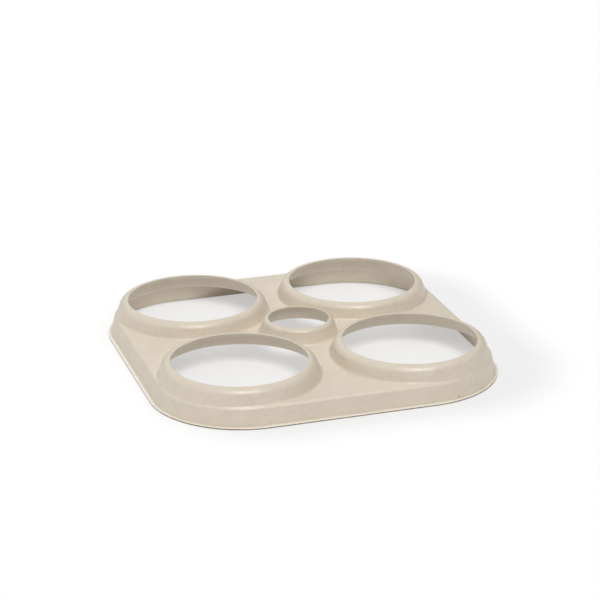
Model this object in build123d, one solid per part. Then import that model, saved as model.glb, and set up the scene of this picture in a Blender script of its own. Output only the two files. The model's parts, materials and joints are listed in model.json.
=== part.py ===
# Four-can carrier ring, pressed from plant fibre as one thin shell that is hollow below.
# Millimetres and degrees, +Z up, origin at the middle of the face that it rests on.
import os
from math import cos, radians, sqrt, tan

from build123d import *

# Holes
can_hole = 52.5  # snaps in under a can's rolled rim
finger_hole = 24.0
saddle_flat = 0.15  # deck left at least between two collars

# Heights and wall
deck_height = 7.85
collar_rise = 6.05
wall = 0.7

# Collars around the holes
can_lip = 2.95  # from a can hole to its collar's outer corner, before that is rounded
finger_lip = 1.75
can_lip_round = 2.6  # inside the lip, and the outside adds the wall
finger_lip_round = 1.4
collar_draft = 18.5
foot_round = 1.05  # above the deck, and the underside adds the wall

# Deck edge, skirt and flange
edge_margin = 0.95  # from a can collar's foot to the deck's corner, before that is rounded
edge_round = 0.9  # inside the deck's edge, and the outside adds the wall
skirt_draft = 11.5
corner_ease = 0.8  # how much wider a corner turns than a ring around its can hole
flange_width = 1.25
flange_ease = 0.9  # how much wider the flange turns at a corner than the skirt
flange_round = 0.7  # above the flange, and the underside adds the wall

# Every cut runs past what it cuts
cut_overrun = 2.0

# Worked out from the sizes above
rim_height = deck_height + collar_rise
collar_slope = tan(radians(collar_draft))
can_foot = can_hole / 2 + can_lip + collar_rise * collar_slope
finger_foot = finger_hole / 2 + finger_lip + collar_rise * collar_slope
foot_reach = foot_round * tan(radians(90 - collar_draft) / 2)
finger_pitch = sqrt(2) * (can_foot + finger_foot + 2 * foot_reach + saddle_flat)  # clears the finger collar
side_pitch = 2 * (can_foot + foot_reach) + saddle_flat  # clears the next can collar
can_pitch = max(finger_pitch, side_pitch)
can_places = GridLocations(can_pitch, can_pitch, 2, 2).locations

skirt_slope = tan(radians(skirt_draft))
deck_half = can_pitch / 2 + can_foot + edge_margin
skirt_half = deck_half + deck_height * skirt_slope
skirt_corner = skirt_half - can_pitch / 2 + corner_ease
flange_half = skirt_half + flange_width
flange_corner = skirt_corner + flange_width + flange_ease


def rounded_square(half, corner):
    return RectangleRounded(2 * half, 2 * half, corner)


# Deck and skirt as one drafted block, set inwards by inset and carried down by drop
def deck_block(inset, drop):
    spread = drop * skirt_slope - inset / cos(radians(skirt_draft))
    outline = rounded_square(skirt_half + spread, skirt_corner + spread)
    block = extrude(Pos(0, 0, -drop) * outline, deck_height - inset + drop, taper=skirt_draft)
    deck_outline = block.faces().sort_by(Axis.Z)[-1].edges()
    return fillet(deck_outline, edge_round + wall - inset)


# One collar as a solid cone with a rounded top corner, standing in the deck
def collar(foot, lip_round, inset):
    bottom = deck_height - inset - edge_round - wall
    top = rim_height - inset
    radius = foot - inset / cos(radians(collar_draft))
    cone = Cone(
        bottom_radius=radius + (deck_height - bottom) * collar_slope,
        top_radius=radius + (deck_height - top) * collar_slope,
        height=top - bottom,
        align=(Align.CENTER, Align.CENTER, Align.MIN),
    )
    lip = cone.edges().sort_by(Axis.Z)[-1]
    return Pos(0, 0, bottom) * fillet(lip, lip_round + wall - inset)


# The pressed form as a filled solid, with a fillet around the foot of every collar
def pressed_form(inset, drop):
    block = deck_block(inset, drop)
    collars = [place * collar(can_foot, can_lip_round, inset) for place in can_places]
    collars.append(collar(finger_foot, finger_lip_round, inset))
    form = block + collars
    feet = new_edges(block, *collars, combined=form)
    return fillet(feet, foot_round + inset)


# A flat flange around the bottom of the skirt, with a fillet above it
def add_flange(form):
    flange = extrude(rounded_square(flange_half, flange_corner), wall)
    flanged = form + flange
    root = new_edges(form, flange, combined=flanged)
    return fillet(root, flange_round)


# The holes are punched through the tops of the collars
def punch_holes(shell):
    punch_height = 2 * (rim_height + cut_overrun)
    can_punches = [place * Cylinder(can_hole / 2, punch_height) for place in can_places]
    return shell - can_punches - Cylinder(finger_hole / 2, punch_height)


# The skirt turns out into the flange, so its inner bottom edge is rounded
def round_rest_edge(shell):
    rest_face = shell.faces().sort_by(Axis.Z)[0]
    return fillet(rest_face.inner_wires()[0].edges(), flange_round + wall)


outside = add_flange(pressed_form(inset=0, drop=0))
hollow = pressed_form(inset=wall, drop=cut_overrun)
carrier_ring = round_rest_edge(punch_holes(outside - hollow))

os.makedirs("parts", exist_ok=True)
export_step(carrier_ring, "parts/carrier_ring.step")
print(f"width {2 * flange_half:.2f}, height {rim_height:.2f}, can pitch {can_pitch:.2f}")
print(f"volume {carrier_ring.volume:.0f}, solids {len(carrier_ring.solids())}, valid {carrier_ring.is_valid}")
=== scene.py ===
import json
import math

import bmesh
import bpy
from mathutils import Matrix, Vector


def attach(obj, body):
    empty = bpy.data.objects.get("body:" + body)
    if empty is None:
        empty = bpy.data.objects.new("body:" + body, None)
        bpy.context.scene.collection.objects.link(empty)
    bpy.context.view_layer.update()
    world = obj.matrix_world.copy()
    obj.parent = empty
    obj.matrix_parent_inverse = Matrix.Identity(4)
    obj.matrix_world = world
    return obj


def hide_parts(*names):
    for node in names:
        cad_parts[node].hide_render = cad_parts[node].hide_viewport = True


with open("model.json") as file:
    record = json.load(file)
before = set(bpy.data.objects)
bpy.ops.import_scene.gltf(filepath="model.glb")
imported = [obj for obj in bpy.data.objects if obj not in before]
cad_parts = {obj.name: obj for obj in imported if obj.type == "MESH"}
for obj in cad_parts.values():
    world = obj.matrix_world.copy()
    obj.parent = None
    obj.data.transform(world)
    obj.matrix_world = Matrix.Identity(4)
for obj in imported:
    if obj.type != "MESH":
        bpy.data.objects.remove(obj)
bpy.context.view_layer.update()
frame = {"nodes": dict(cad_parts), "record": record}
mm = 0.001  # the scene is in metres
scene = bpy.context.scene
scene.view_settings.view_transform = "Standard"


def makeActive(piece):
    bpy.ops.object.select_all(action="DESELECT")  # the loaded nodes come in selected
    piece.select_set(True)
    bpy.context.view_layer.objects.active = piece


def pickEdges(piece, wanted):
    bpy.context.tool_settings.mesh_select_mode = (False, True, False)
    bpy.ops.mesh.select_all(action="DESELECT")
    form = bmesh.from_edit_mesh(piece.data)
    for edge in form.edges:
        edge.select = wanted(edge)
    form.select_flush_mode()
    bmesh.update_edit_mesh(piece.data)


# The pressed ring, at the sizes of the CAD model
canHoles = [mount for mount in frame["record"]["mounts"] if mount["kind"] == "bore"]
canPlaces = [Vector(mount["pos_m"]) for mount in canHoles]
ring = {
    "canRadius": canHoles[0]["dims"]["r_mm"] * mm,
    "fingerRadius": 12.0 * mm,
    "holeRound": 0.14 * mm,
    "skirtCentre": 33.608 * mm,  # centre of the skirt's corners
    "skirtReach": 34.573 * mm,  # from there to the skirt at the floor
    "skirtSlope": math.tan(math.radians(11.5)),
    "flangeCentre": 32.708 * mm,  # centre of the flange's corners
    "flangeReach": 36.721 * mm,  # from there to the trimmed edge
    "flangeTop": 0.7 * mm,
    "flangeWidth": 1.25 * mm,
    "flangeTopRound": 0.15 * mm,
    "flangeUnderRound": 0.13 * mm,
    "flangeDroop": 0.17 * mm,  # how far the flange leans down to its trimmed edge
    "filletKept": 0.3,  # how much of the fillet above the flange is left
    "filletRise": 0.6 * mm,  # how far the fillet goes up the skirt
    "filletReach": 0.62 * mm,  # and out over the flange
    "roundSteps": 3,
    "sharpFrom": math.radians(60),
    "smoothUpTo": math.radians(35),
    "mergeWithin": 0.002 * mm,
    "edgeSlack": 0.05 * mm,  # how far off its place an edge or a corner may lie
    "cornerSlack": 0.03 * mm,
    "rimSlack": 0.04 * mm,
    "skirtSlack": 0.02 * mm,
    "levelSlack": 0.001 * mm,
    "holeTrim": 0.25,  # how much of the core shows at the holes
}


def holeDistance(point):
    gaps = [abs((point.xy - place.xy).length - ring["canRadius"]) for place in canPlaces]
    return min(gaps + [abs(point.xy.length - ring["fingerRadius"])])


# How far a point lies outside the square that ends at centre on both axes
def reachFrom(point, centre):
    return math.hypot(max(abs(point.x) - centre, 0), max(abs(point.y) - centre, 0))


def isSharp(edge):
    return len(edge.link_faces) == 2 and edge.calc_face_angle() > ring["sharpFrom"]


def atHole(edge):
    return isSharp(edge) and all(holeDistance(end.co) < ring["edgeSlack"] for end in edge.verts)


def atFlange(edge, height):
    level = all(abs(end.co.z - height) < ring["edgeSlack"] for end in edge.verts)
    return level and isSharp(edge) and not atHole(edge)


# Marks the cut edges, where the skin is gone and the dark core shows with painted shade, and the
# flange's top, which gets a painted highlight
def markTrim(piece):
    trimmed = piece.data.attributes.new("trimmed", "FLOAT", "POINT")
    flattened = piece.data.attributes.new("flattened", "FLOAT", "POINT")
    for corner, cut, pale in zip(piece.data.vertices, trimmed.data, flattened.data):
        inwards = ring["flangeReach"] - reachFrom(corner.co, ring["flangeCentre"])
        level = abs(corner.co.z - ring["flangeTop"]) < ring["cornerSlack"]
        onTop = level and inwards < ring["flangeWidth"]
        # the flange's top is marked for a painted highlight
        pale.value = 1.0 if onTop else 0.0
        # the flange's cut edge gets the full dark core, which also carries painted shade
        if inwards < ring["rimSlack"] and not onTop:
            cut.value = 1.0
        elif holeDistance(corner.co) < ring["cornerSlack"]:
            cut.value = ring["holeTrim"]


# Pulls the fillet above the flange in to a crease, and leans the flange down to its trimmed edge
def shapeFlange(piece):
    top, centre = ring["flangeTop"], ring["skirtCentre"]
    rootReach = ring["skirtReach"] - top * ring["skirtSlope"]
    tighten = 1 - ring["filletKept"]
    for corner in piece.data.vertices:
        spot = corner.co
        reach = reachFrom(spot, centre)
        skirtThere = ring["skirtReach"] - spot.z * ring["skirtSlope"]
        if reach <= skirtThere - ring["skirtSlack"] or spot.z > top + ring["filletRise"]:
            continue
        if spot.z > top - ring["levelSlack"] and reach < rootReach + ring["filletReach"]:
            pull = (rootReach - reach) * tighten / reach
            spot.x += math.copysign(pull * max(abs(spot.x) - centre, 0), spot.x)
            spot.y += math.copysign(pull * max(abs(spot.y) - centre, 0), spot.y)
            spot.z += (top - spot.z) * tighten
        along = (reachFrom(spot, centre) - rootReach) / ring["flangeWidth"]
        spot.z -= ring["flangeDroop"] * min(max(along, 0), 1) * max(spot.z / top, 0)


def carrierRing():
    mesh = frame["nodes"]["carrier_ring"].data.copy()
    piece = bpy.data.objects.new("pressedFibreRing", mesh)
    scene.collection.objects.link(piece)
    makeActive(piece)
    bpy.ops.mesh.customdata_custom_splitnormals_clear()
    bpy.ops.object.mode_set(mode="EDIT")
    bpy.ops.mesh.select_all(action="SELECT")
    bpy.ops.mesh.remove_doubles(threshold=ring["mergeWithin"])

    cutEdges = (
        (lambda edge: atFlange(edge, ring["flangeTop"]), ring["flangeTopRound"]),
        (lambda edge: atFlange(edge, 0), ring["flangeUnderRound"]),
        (atHole, ring["holeRound"]),
    )
    for wanted, size in cutEdges:
        pickEdges(piece, wanted)
        bpy.ops.mesh.bevel(offset=size, segments=ring["roundSteps"], affect="EDGES")
    bpy.ops.object.mode_set(mode="OBJECT")
    markTrim(piece)
    shapeFlange(piece)
    print("merged and softened:", len(piece.data.polygons), "faces")

    bpy.ops.object.shade_smooth_by_angle(angle=ring["smoothUpTo"])
    weighted = piece.modifiers.new("evenShading", "WEIGHTED_NORMAL")
    weighted.mode = "FACE_AREA"
    weighted.keep_sharp = True
    bpy.ops.object.modifier_apply(modifier=weighted.name)
    return piece


# Pressed plant fibre: clouded beige with curled strands, a few brown flecks and a felted grain
fibre = {
    "pale": (0.752, 0.664, 0.542, 1),
    "deep": (0.712, 0.626, 0.508, 1),
    "straw": (0.80, 0.72, 0.60, 1),
    "bark": (0.27, 0.19, 0.115, 1),
    "coreAndGapShade": (0.22, 0.175, 0.125, 1),  # on the cut edges: the fibre's dark core, made darker as painted shade of the gap under the flange's edge
    "flat": (0.88, 0.82, 0.72, 1),  # painted highlight along the flange's top
    "clouds": {"size": 7.0, "detail": 3, "seed": 0.0},  # sizes in mm
    "patches": {"size": 2.6, "detail": 2, "seed": 3.0},
    "grain": {"size": 0.5, "detail": 2, "seed": 7.0},
    "darkStrands": {"size": 2.2, "width": 0.026, "seed": 11.0, "keepAbove": 0.63},
    "paleStrands": {"size": 1.54, "width": 0.0338, "seed": 17.0, "keepAbove": 0.50},
    "flecks": {"cell": 7.0, "share": 0.11, "reach": 0.105},  # reach is a part of the cell
    "fleckBend": 1.6,
    "fleckBendScale": 0.9,
    "mottleMix": (0.5, 0.3, 0.2),  # of clouds, patches and grain
    "mottleRange": (0.36, 0.64),
    "paleStrandDepth": 0.35,
    "darkStrandDepth": 0.22,
    "fleckDepth": 0.45,
    "coreAndShadeRange": (0.3, 0.7),  # of the grain
    "coreAndShadeDepth": (0.75, 1.0),
    "sheenMix": (0.5, 0.5),  # of patches and grain
    "sheenRange": (0.35, 0.65),
    "roughness": (0.35, 0.45),
    "specular": 0.75,
    "reliefMix": (0.4, 0.9, 0.25),  # of grain, patches and pale strands
    "relief": 0.010 * mm,
}


def addNode(tree, kind, **values):
    node = tree.nodes.new("ShaderNode" + kind)
    for name, value in values.items():
        setattr(node, name, value)
    return node


def setInputs(node, **values):
    for name, value in values.items():
        node.inputs[name].default_value = value
    return node


def calculate(tree, operation, *values):
    node = addNode(tree, "Math", operation=operation)
    for socket, value in zip(node.inputs, values):
        if isinstance(value, (int, float)):
            socket.default_value = value
        else:
            tree.links.new(value, socket)
    return node.outputs[0]


def weightedSum(tree, values, weights):
    parts = [calculate(tree, "MULTIPLY", *pair) for pair in zip(values, weights)]
    total = parts[0]
    for part in parts[1:]:
        total = calculate(tree, "ADD", total, part)
    return total


def remap(tree, value, fromRange, toRange):
    node = addNode(tree, "MapRange", interpolation_type="SMOOTHSTEP")
    tree.links.new(value, node.inputs["Value"])
    ends = ("From Min", "From Max", "To Min", "To Max")
    setInputs(node, **dict(zip(ends, fromRange + toRange)))
    return node.outputs["Result"]


def blendColour(tree, amount, first, second):
    node = addNode(tree, "Mix", data_type="RGBA")
    tree.links.new(amount, node.inputs["Factor"])
    for socket, colour in ((node.inputs[6], first), (node.inputs[7], second)):  # its colour sockets
        if isinstance(colour, tuple):
            socket.default_value = colour
        else:
            tree.links.new(colour, socket)
    return node.outputs[2]


def noise(tree, place, size, detail, seed):
    node = addNode(tree, "TexNoise", noise_dimensions="4D")
    tree.links.new(place, node.inputs["Vector"])
    setInputs(node, W=seed, Scale=1 / size, Detail=detail)
    return node.outputs["Fac"]


# Thin curled lines where a noise passes its middle value, broken up by a finer noise
def strands(tree, place, size, width, seed, keepAbove):
    gapSize, gapSeed, gapRamp = size * 0.8, seed + 5, 0.08
    curls = noise(tree, place, size, detail=1.5, seed=seed)
    offMiddle = calculate(tree, "ABSOLUTE", calculate(tree, "SUBTRACT", curls, 0.5))
    line = remap(tree, offMiddle, (0.0, width), (1.0, 0.0))
    gaps = noise(tree, place, gapSize, detail=0, seed=gapSeed)
    kept = remap(tree, gaps, (keepAbove, keepAbove + gapRamp), (0.0, 1.0))
    return calculate(tree, "MULTIPLY", line, kept)


# One small spot in some cells of a Voronoi pattern, each of its own size
def flecks(tree, place, cell, share, reach):
    smallest, softness = 0.35, reach * 0.5
    cells = addNode(tree, "TexVoronoi", feature="F1")
    tree.links.new(place, cells.inputs["Vector"])
    setInputs(cells, Scale=1 / cell, Randomness=1.0)
    lot = addNode(tree, "SeparateColor")
    tree.links.new(cells.outputs["Color"], lot.inputs["Color"])
    size = calculate(tree, "ADD", lot.outputs["Green"], smallest)
    size = calculate(tree, "MULTIPLY", size, reach)
    inside = calculate(tree, "SUBTRACT", size, cells.outputs["Distance"])
    spot = remap(tree, inside, (0.0, softness), (0.0, 1.0))
    chosen = calculate(tree, "LESS_THAN", lot.outputs["Red"], share)
    return calculate(tree, "MULTIPLY", spot, chosen)


# Moves the places that a pattern is read at, so that its spots get uneven shapes
def bendPlace(tree, place, amount, scale):
    wobble = addNode(tree, "TexNoise")
    tree.links.new(place, wobble.inputs["Vector"])
    setInputs(wobble, Scale=scale, Detail=1.0)
    centred = addNode(tree, "VectorMath", operation="SUBTRACT")
    tree.links.new(wobble.outputs["Color"], centred.inputs[0])
    centred.inputs[1].default_value = (0.5, 0.5, 0.5)
    bent = addNode(tree, "VectorMath", operation="MULTIPLY_ADD")
    tree.links.new(centred.outputs[0], bent.inputs[0])
    bent.inputs[1].default_value = (amount, amount, amount)
    tree.links.new(place, bent.inputs[2])
    return bent.outputs[0]


def fibreMaterial():
    material = bpy.data.materials.new("pressedFibre")
    material.use_nodes = True
    tree = material.node_tree
    shader = tree.nodes["Principled BSDF"]
    setInputs(shader, **{"Specular IOR Level": fibre["specular"]})

    inMm = setInputs(addNode(tree, "Mapping"), Scale=(1 / mm, 1 / mm, 1 / mm))
    tree.links.new(addNode(tree, "TexCoord").outputs["Object"], inMm.inputs["Vector"])
    place = inMm.outputs["Vector"]
    clouds = noise(tree, place, **fibre["clouds"])
    patches = noise(tree, place, **fibre["patches"])
    grain = noise(tree, place, **fibre["grain"])
    darkStrands = strands(tree, place, **fibre["darkStrands"])
    paleStrands = strands(tree, place, **fibre["paleStrands"])
    bent = bendPlace(tree, place, fibre["fleckBend"], fibre["fleckBendScale"])
    spots = flecks(tree, bent, **fibre["flecks"])

    mottle = weightedSum(tree, (clouds, patches, grain), fibre["mottleMix"])
    mottle = remap(tree, mottle, fibre["mottleRange"], (0.0, 1.0))
    colour = blendColour(tree, mottle, fibre["deep"], fibre["pale"])
    marks = (
        (paleStrands, "paleStrandDepth", "straw"),
        (darkStrands, "darkStrandDepth", "bark"),
        (spots, "fleckDepth", "bark"),
    )
    for mask, depth, shade in marks:
        amount = calculate(tree, "MULTIPLY", mask, fibre[depth])
        colour = blendColour(tree, amount, colour, fibre[shade])

    flattened = addNode(tree, "Attribute", attribute_name="flattened")
    trimmed = addNode(tree, "Attribute", attribute_name="trimmed")
    # The cut edges' dark core, partly real and partly painted shade of the gap under the flange's
    # edge
    coreAndShadeAmount = remap(tree, grain, fibre["coreAndShadeRange"], fibre["coreAndShadeDepth"])
    coreAndShadeAmount = calculate(tree, "MULTIPLY", trimmed.outputs["Fac"], coreAndShadeAmount)
    # painted highlight on the flange's top
    colour = blendColour(tree, flattened.outputs["Fac"], colour, fibre["flat"])
    colour = blendColour(tree, coreAndShadeAmount, colour, fibre["coreAndGapShade"])
    tree.links.new(colour, shader.inputs["Base Color"])

    sheen = weightedSum(tree, (patches, grain), fibre["sheenMix"])
    sheen = remap(tree, sheen, fibre["sheenRange"], fibre["roughness"])
    tree.links.new(sheen, shader.inputs["Roughness"])

    height = weightedSum(tree, (grain, patches, paleStrands), fibre["reliefMix"])
    bump = setInputs(addNode(tree, "Bump"), Strength=1.0, Distance=fibre["relief"])
    tree.links.new(height, bump.inputs["Height"])
    tree.links.new(bump.outputs["Normal"], shader.inputs["Normal"])
    return material


carrierPiece = carrierRing()
carrierPiece.data.materials.clear()
carrierPiece.data.materials.append(fibreMaterial())
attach(carrierPiece, "root")
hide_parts("carrier_ring")
print("fibre on:", carrierPiece.name)

# The floor carries a painted shadow: a touch greyer under the ring, fading out around it
stage = {
    "size": 6,
    "paleShade": 0.98,
    "underShade": 0.855,
    "shadeShift": (12 * mm, 1 * mm, 0),
    "shadeFade": 24 * mm,
    "bounceShade": 0.93,
    "floorGlow": 0.5,
    "glowStrength": 1.09,
}


# How far out a point of the floor is, measured as the flange's outline is rounded; it places the
# painted shadow
def outlineReach(tree, shift):
    middle = ring["flangeCentre"]
    steps = (
        ("SUBTRACT", shift),
        ("ABSOLUTE", None),
        ("SUBTRACT", (middle, middle, 0)),
        ("MAXIMUM", (0, 0, 0)),
        ("LENGTH", None),
    )
    place = addNode(tree, "TexCoord").outputs["Object"]
    for operation, value in steps:
        node = addNode(tree, "VectorMath", operation=operation)
        tree.links.new(place, node.inputs[0])
        if value:
            node.inputs[1].default_value = value
        place = node.outputs["Value" if operation == "LENGTH" else "Vector"]
    return place


# Seen directly or in a reflection it is near white with the ring's cast shadow and the painted
# shadow, and else plain
def floorMaterial():
    material = bpy.data.materials.new("paleFloor")
    material.use_nodes = True
    tree = material.node_tree
    tree.nodes.clear()
    edge = ring["flangeReach"]
    # painted shadow under and around the ring, shifted off centre
    shade = remap(tree, outlineReach(tree, stage["shadeShift"]),
                  (edge, edge + stage["shadeFade"]), (stage["underShade"], stage["paleShade"]))

    lit = addNode(tree, "BsdfDiffuse")
    glow = setInputs(addNode(tree, "Emission"), Strength=stage["glowStrength"])
    bounce = setInputs(addNode(tree, "BsdfDiffuse"), Color=(stage["bounceShade"],) * 3 + (1,))
    pale = setInputs(addNode(tree, "MixShader"), Fac=stage["floorGlow"])
    whole = addNode(tree, "MixShader")
    out = addNode(tree, "OutputMaterial")
    ray = addNode(tree, "LightPath").outputs
    seen = calculate(tree, "MAXIMUM", ray["Is Glossy Ray"], ray["Is Transmission Ray"])
    seen = calculate(tree, "MAXIMUM", ray["Is Camera Ray"], seen)
    tree.links.new(shade, lit.inputs["Color"])
    tree.links.new(shade, glow.inputs["Color"])
    tree.links.new(lit.outputs[0], pale.inputs[1])
    tree.links.new(glow.outputs[0], pale.inputs[2])
    tree.links.new(seen, whole.inputs["Fac"])
    tree.links.new(bounce.outputs[0], whole.inputs[1])
    tree.links.new(pale.outputs[0], whole.inputs[2])
    tree.links.new(whole.outputs[0], out.inputs["Surface"])
    return material


bpy.ops.object.select_all(action="DESELECT")
bpy.ops.mesh.primitive_plane_add(size=stage["size"])
floor = bpy.context.object
floor.name = "floor"
floor.data.materials.append(floorMaterial())

# In degrees: turn is from the camera's side towards its right, height is above the floor
lamps = {
    "keyLight": {"turn": 15, "height": 60, "strength": 2.1, "softness": 28},
    "leftLight": {"turn": 266, "height": 30, "strength": 0.94, "softness": 90},
    "topLight": {"turn": 140, "height": 64, "strength": 0.55, "softness": 70},
    "backLight": {"turn": 195, "height": 28, "strength": 0.3, "softness": 40},
}
cameraTurn = math.radians(-17.5)
roomGlow = 0.02

world = bpy.data.worlds.new("softRoom")
world.use_nodes = True
setInputs(world.node_tree.nodes["Background"], Color=(1, 1, 1, 1), Strength=roomGlow)
scene.world = world
for name, lamp in lamps.items():
    turn = cameraTurn + math.radians(lamp["turn"])
    height = math.radians(lamp["height"])
    level = math.cos(height)
    source = Vector((math.sin(turn) * level, -math.cos(turn) * level, math.sin(height)))
    bpy.ops.object.light_add(type="SUN", rotation=source.to_track_quat("Z", "Y").to_euler())
    sun = bpy.context.object
    sun.name = name
    sun.data.energy = lamp["strength"]
    sun.data.angle = math.radians(lamp["softness"])
print("floor and lamps:", ", ".join(lamps))

photo = {
    "place": Vector((-0.23080, -0.73003, 0.31341)),
    "aim": Vector((0.00292, 0.00699, 0.01843)),
    "roll": math.radians(-0.257),
    "lens": 123.75,
    "sensor": 36,
}
cameraData = bpy.data.cameras.new("photoCamera")
cameraData.lens = photo["lens"]
cameraData.sensor_width = photo["sensor"]
camera = bpy.data.objects.new("photoCamera", cameraData)
scene.collection.objects.link(camera)
camera.location = photo["place"]
look = (photo["aim"] - photo["place"]).to_track_quat("-Z", "Y").to_matrix()
camera.rotation_euler = (look @ Matrix.Rotation(photo["roll"], 3, "Z")).to_euler()
scene.camera = camera
print("camera set at lens", photo["lens"])
